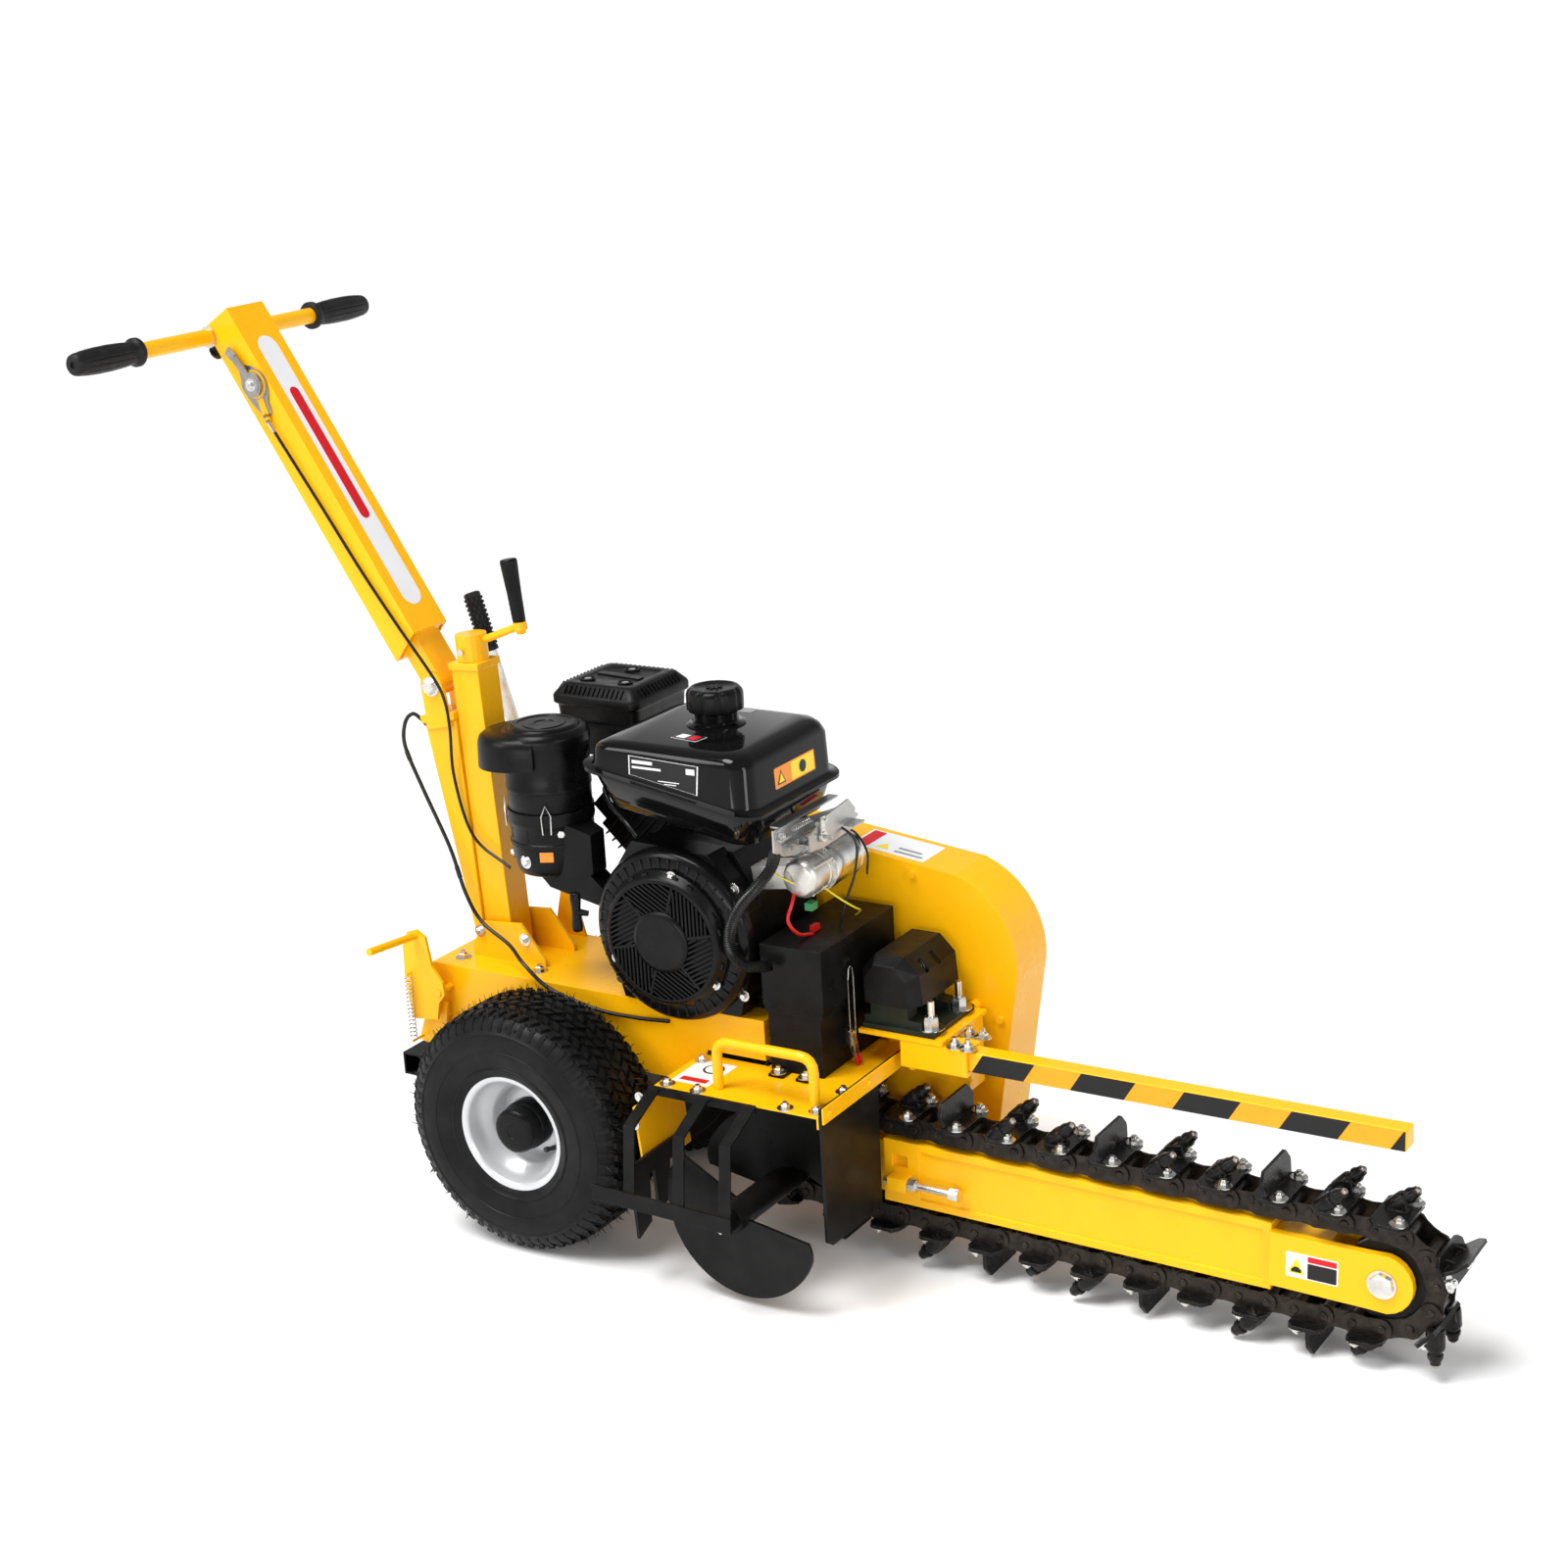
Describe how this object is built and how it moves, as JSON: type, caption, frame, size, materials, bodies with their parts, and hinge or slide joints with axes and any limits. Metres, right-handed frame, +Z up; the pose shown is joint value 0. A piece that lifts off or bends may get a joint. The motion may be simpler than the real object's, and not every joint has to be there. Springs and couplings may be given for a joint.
{
  "type": "walk-behind trencher",
  "caption": "Walk-behind chain trencher: engine on a wheeled deck, folding handle column, digging chain on a boom, side auger under a guard and a safety bar",
  "frame": {"origin": "centre of the bounding box in plan, on the ground the tyres stand on", "axes": "+X runs forward along the boom, +Y to the belt guard side, +Z up"},
  "size_m": [1.9901, 0.644, 1.3515],
  "materials": {
    "deck_frame": "gloss powder coat",
    "front_mount": "gloss powder coat",
    "jack_post": "gloss powder coat",
    "mast": "gloss powder coat",
    "auger_cover": "gloss powder coat",
    "cover_handle": "gloss powder coat",
    "auger_grille": "satin paint",
    "rubber_flap": "matte",
    "flap_strip": "gloss powder coat",
    "side_flaps": "matte",
    "battery_box": "satin moulded",
    "battery_lid": "satin moulded",
    "latch_toggle": "zinc plated",
    "latch_bail": "zinc plated",
    "bearing_blocks": "painted casting",
    "jackshaft": "turned",
    "bearing_cover": "satin moulded",
    "belt_guard": "gloss powder coat",
    "bar_bracket": "gloss powder coat",
    "safety_bar": "gloss powder coat with dark bands",
    "boom": "gloss powder coat",
    "tension_bolt": "zinc plated",
    "boom_nose": "gloss powder coat",
    "nose_roller": "blackened",
    "digging_chain": "oiled",
    "auger_shaft": "gloss paint",
    "engine_block": "black painted casting",
    "fan_housing": "satin paint",
    "recoil_cover": "satin moulded",
    "recoil_handle": "satin moulded",
    "fuel_tank": "gloss",
    "fuel_cap": "satin moulded",
    "muffler": "matte heat paint",
    "air_cleaner": "satin moulded",
    "air_cleaner_base": "satin moulded",
    "starter_motor": "plated can",
    "control_bracket": "zinc plated",
    "throttle_arm": "zinc plated",
    "handle_column": "gloss powder coat",
    "handlebar": "gloss powder coat",
    "grip_near": "ribbed",
    "grip_far": "ribbed",
    "bar_clamp": "satin paint",
    "throttle_lever": "zinc plated",
    "jack_crank": "gloss powder coat",
    "crank_grip": "satin moulded",
    "drive_lever": "bare steel",
    "drive_lever_grip": "knurled",
    "latch_lever": "gloss powder coat",
    "latch_spring": "zinc plated",
    "wheel_carriage": "satin paint",
    "tyre_near": "turf tread",
    "tyre_far": "turf tread",
    "rim_near": "silver paint",
    "rim_far": "silver paint",
    "hub_cap_near": "moulded",
    "hub_cap_far": "moulded",
    "throttle_cable_upper": "jacket",
    "throttle_cable_lower": "jacket",
    "engine_wiring": "jacket"
  },
  "bodies": {
    "frame": {"deck_frame": "deck_frame", "front_mount": "front_mount", "jack_post": "jack_post", "mast": "mast", "auger_cover": "auger_cover", "cover_handle": "cover_handle", "auger_grille": "auger_grille", "rubber_flap": "rubber_flap", "flap_strip": "flap_strip", "side_flaps": "side_flaps", "battery_box": "battery_box", "bearing_blocks": "bearing_blocks", "bearing_cover": "bearing_cover", "belt_guard": "belt_guard", "bar_bracket": "bar_bracket", "safety_bar": "safety_bar", "boom": "boom", "tension_bolt": "tension_bolt", "boom_nose": "boom_nose", "digging_chain": "digging_chain", "engine_block": "engine_block", "fan_housing": "fan_housing", "recoil_cover": "recoil_cover", "fuel_tank": "fuel_tank", "muffler": "muffler", "air_cleaner": "air_cleaner", "air_cleaner_base": "air_cleaner_base", "starter_motor": "starter_motor", "control_bracket": "control_bracket", "latch_spring": "latch_spring", "throttle_cable_lower": "throttle_cable_lower", "engine_wiring": "engine_wiring"},
    "handle": {"handle_column": "handle_column", "handlebar": "handlebar", "grip_near": "grip_near", "grip_far": "grip_far", "bar_clamp": "bar_clamp", "throttle_cable_upper": "throttle_cable_upper"},
    "throttle": {"throttle_lever": "throttle_lever"},
    "engine_throttle": {"throttle_arm": "throttle_arm"},
    "lid": {"battery_lid": "battery_lid"},
    "toggle": {"latch_toggle": "latch_toggle"},
    "bail": {"latch_bail": "latch_bail"},
    "jackshaft_body": {"jackshaft": "jackshaft"},
    "digger": {"auger_shaft": "auger_shaft"},
    "roller": {"nose_roller": "nose_roller"},
    "recoil": {"recoil_handle": "recoil_handle"},
    "cap": {"fuel_cap": "fuel_cap"},
    "crank": {"jack_crank": "jack_crank"},
    "crank_knob": {"crank_grip": "crank_grip"},
    "drive": {"drive_lever": "drive_lever", "drive_lever_grip": "drive_lever_grip"},
    "latch": {"latch_lever": "latch_lever"},
    "carriage": {"wheel_carriage": "wheel_carriage"},
    "wheel_left": {"tyre_far": "tyre_far", "rim_far": "rim_far", "hub_cap_far": "hub_cap_far"},
    "wheel_right": {"tyre_near": "tyre_near", "rim_near": "rim_near", "hub_cap_near": "hub_cap_near"}
  },
  "joints": [
    {"name": "handle_fold", "type": "hinge", "parent": "frame", "child": "handle", "pos_m": [-0.61024, 0, 0.79], "axis": [0, -1, 0], "range_deg": [0, 60]},
    {"name": "throttle_turn", "type": "hinge", "parent": "handle", "child": "throttle", "pos_m": [-0.8894, -0.045, 1.23834], "axis": [0, -1, 0], "range_deg": [0, 40]},
    {"name": "engine_throttle_turn", "type": "hinge", "parent": "frame", "child": "engine_throttle", "pos_m": [0.06526, -0.03, 0.635], "axis": [1, 0, 0], "range_deg": [0, 32]},
    {"name": "lid_lift", "type": "slide", "parent": "frame", "child": "lid", "axis": [0, 0, 1], "range_m": [0, 0.04]},
    {"name": "toggle_turn", "type": "hinge", "parent": "frame", "child": "toggle", "pos_m": [0.09676, -0.0345, 0.345], "axis": [0, -1, 0], "range_deg": [0, 100]},
    {"name": "bail_turn", "type": "hinge", "parent": "toggle", "child": "bail", "pos_m": [0.10006, -0.0345, 0.33], "axis": [0, -1, 0], "range_deg": [-100, 0]},
    {"name": "digger_spin", "type": "hinge", "parent": "frame", "child": "digger", "pos_m": [0.02626, 0, 0.143], "axis": [0, 1, 0], "continuous": true},
    {"name": "jackshaft_spin", "type": "hinge", "parent": "frame", "child": "jackshaft_body", "pos_m": [0.14626, 0, 0.415], "axis": [0, 1, 0], "continuous": true},
    {"name": "roller_spin", "type": "hinge", "parent": "frame", "child": "roller", "pos_m": [0.88126, 0, 0.127], "axis": [0, 1, 0], "continuous": true},
    {"name": "recoil_pull", "type": "slide", "parent": "frame", "child": "recoil", "axis": [0, -1, 0], "range_m": [0, 0.35], "stiffness_N_per_m": 20},
    {"name": "cap_turn", "type": "hinge", "parent": "frame", "child": "cap", "pos_m": [-0.12174, 0, 0.7803], "axis": [0, 0, 1], "continuous": true},
    {"name": "carriage_lift", "type": "hinge", "parent": "frame", "child": "carriage", "pos_m": [-0.19374, 0, 0.3], "axis": [0, 1, 0], "range_deg": [-1, 11]},
    {"name": "crank_turn", "type": "hinge", "parent": "frame", "child": "crank", "pos_m": [-0.55124, 0, 0.826], "axis": [-0.0513, 0, 0.9987], "range_deg": [-12, 132]},
    {"name": "crank_knob_spin", "type": "hinge", "parent": "crank", "child": "crank_knob", "pos_m": [-0.46222, 0.004, 0.8935], "axis": [-0.1196, 0, 0.9928], "continuous": true},
    {"name": "drive_lever_pull", "type": "hinge", "parent": "frame", "child": "drive", "pos_m": [-0.48474, 0.104, 0.424], "axis": [0, 1, 0], "range_deg": [0, 14]},
    {"name": "latch_lift", "type": "hinge", "parent": "frame", "child": "latch", "pos_m": [-0.58174, -0.1185, 0.33], "axis": [0, 1, 0], "range_deg": [0, 20], "stiffness_Nm_per_rad": 3, "deforming": ["latch_spring"]},
    {"name": "wheel_left_spin", "type": "hinge", "parent": "carriage", "child": "wheel_left", "pos_m": [-0.36374, 0.185, 0.19], "axis": [0, 1, 0], "continuous": true},
    {"name": "wheel_right_spin", "type": "hinge", "parent": "carriage", "child": "wheel_right", "pos_m": [-0.36374, -0.185, 0.19], "axis": [0, 1, 0], "continuous": true}
  ],
  "couplings": [
    {"joint": "engine_throttle_turn", "follows": "throttle_turn", "ratio": 0.8},
    {"joint": "bail_turn", "follows": "toggle_turn", "ratio": -1},
    {"joint": "jackshaft_spin", "follows": "digger_spin", "ratio": 2.5},
    {"joint": "roller_spin", "follows": "digger_spin", "ratio": 1},
    {"joint": "crank_turn", "follows": "carriage_lift", "ratio": 12}
  ]
}
